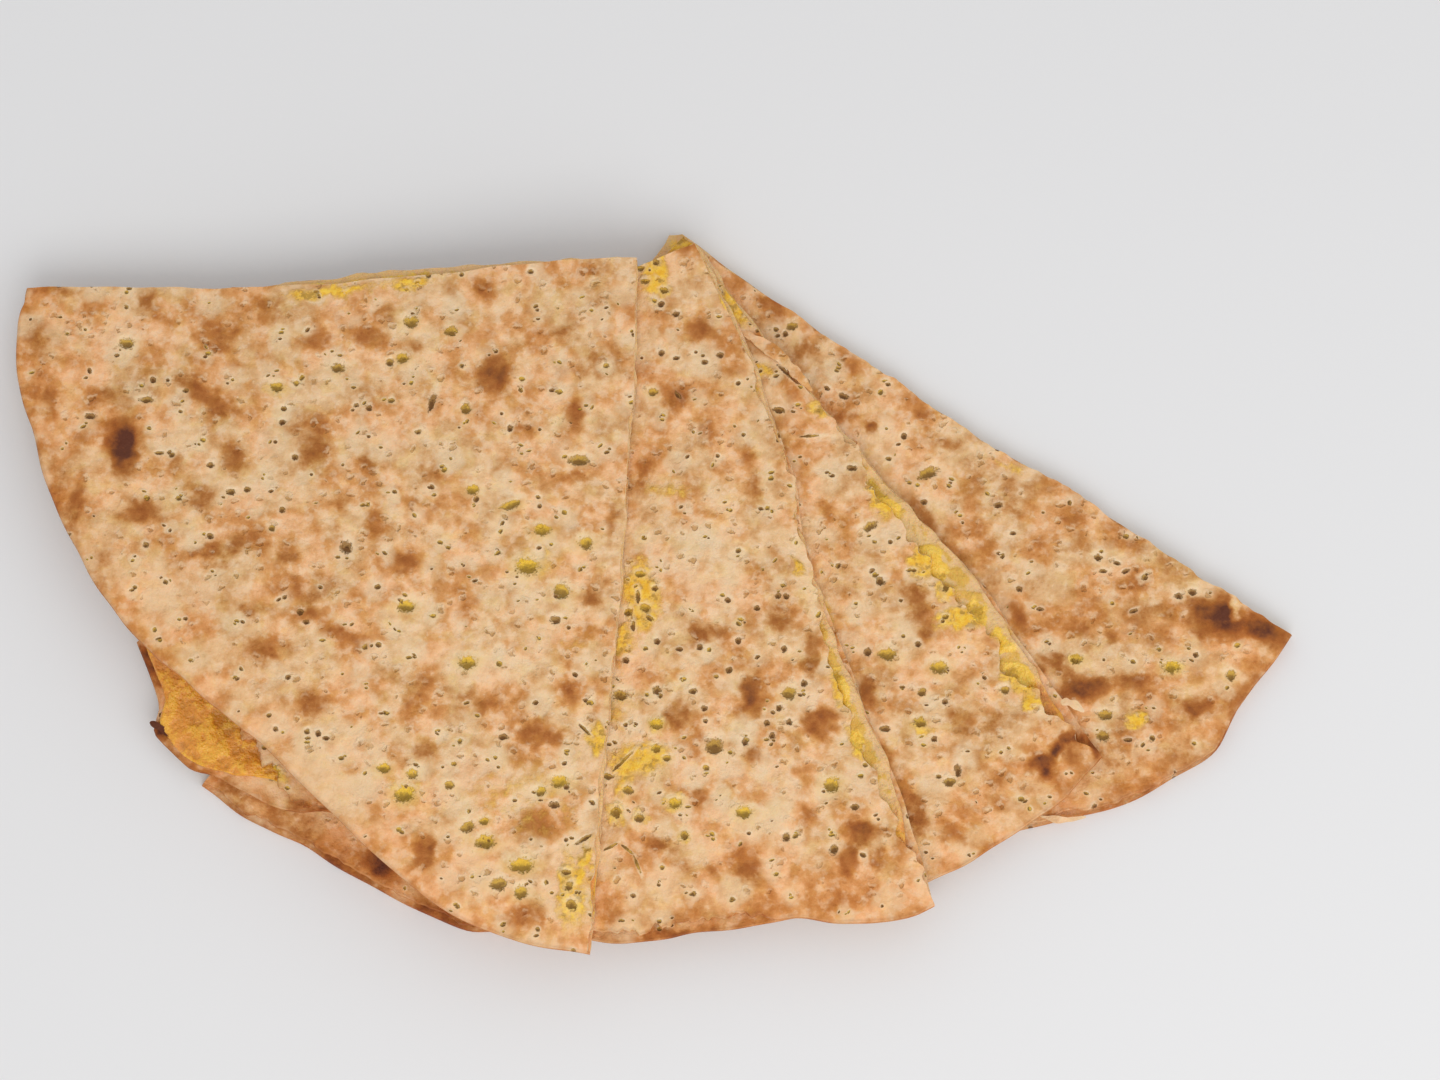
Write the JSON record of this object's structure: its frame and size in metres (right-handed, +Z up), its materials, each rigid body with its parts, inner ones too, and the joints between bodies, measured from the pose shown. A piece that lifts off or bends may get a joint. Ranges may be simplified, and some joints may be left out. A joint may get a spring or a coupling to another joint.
{
  "type": "cheddar cheese tamees",
  "caption": "Round flatbread filled with cheddar, cut into quarters that lie stacked and fanned about their tips, each two thin toasted sheets with cheese between.",
  "frame": {"origin": "middle of the bounding box's underside, on the surface that the fan lies on", "axes": "+X along the fan's length towards the bottom quarter's crust corner, +Y towards the tips, +Z up"},
  "size_m": [0.3756, 0.2152, 0.0252],
  "materials": {
    "bread": "baked flatbread, dry and matt, cream with brown patches",
    "toasted_bread": "baked flatbread with docked holes, toasted blisters and a few scorched spots",
    "cheddar": "melted yellow cheddar, slightly oily"
  },
  "bodies": {
    "root": {"bottom_quarter_lower_sheet": "bread", "bottom_quarter_cheese": "cheddar", "bottom_quarter_upper_sheet": "toasted_bread", "second_quarter_lower_sheet": "bread", "second_quarter_cheese": "cheddar", "second_quarter_upper_sheet": "toasted_bread", "third_quarter_lower_sheet": "bread", "third_quarter_cheese": "cheddar", "third_quarter_upper_sheet": "toasted_bread", "top_quarter_lower_sheet": "bread", "top_quarter_cheese": "cheddar", "top_quarter_upper_sheet": "toasted_bread"}
  },
  "joints": []
}
